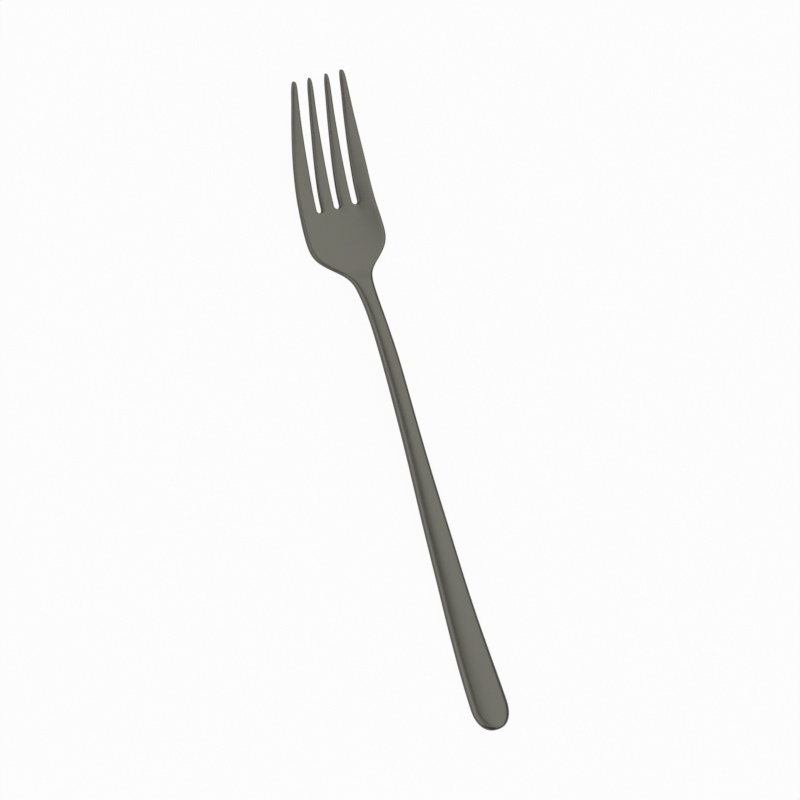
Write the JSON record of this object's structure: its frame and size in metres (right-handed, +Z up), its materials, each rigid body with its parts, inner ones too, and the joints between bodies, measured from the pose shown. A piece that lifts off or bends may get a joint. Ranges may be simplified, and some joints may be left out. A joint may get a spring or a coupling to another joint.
{
  "type": "dinner fork",
  "caption": "Slim one-piece dinner fork with tapering tines, a shallow bowl, an arched neck and a long flat handle with a round end, in dark satin steel.",
  "frame": {"origin": "middle of the fork's length and width, on the surface that it rests on, lying on its back", "axes": "+Y along the fork towards the tips of the tines, +Z up out of the hollow of the bowl, +X to the right seen from above"},
  "size_m": [0.026, 0.205, 0.0174],
  "materials": {
    "satin_coated_steel": "warm dark grey hard coating over satin brushed stainless steel"
  },
  "bodies": {
    "root": {"fork": "satin_coated_steel"}
  },
  "joints": []
}
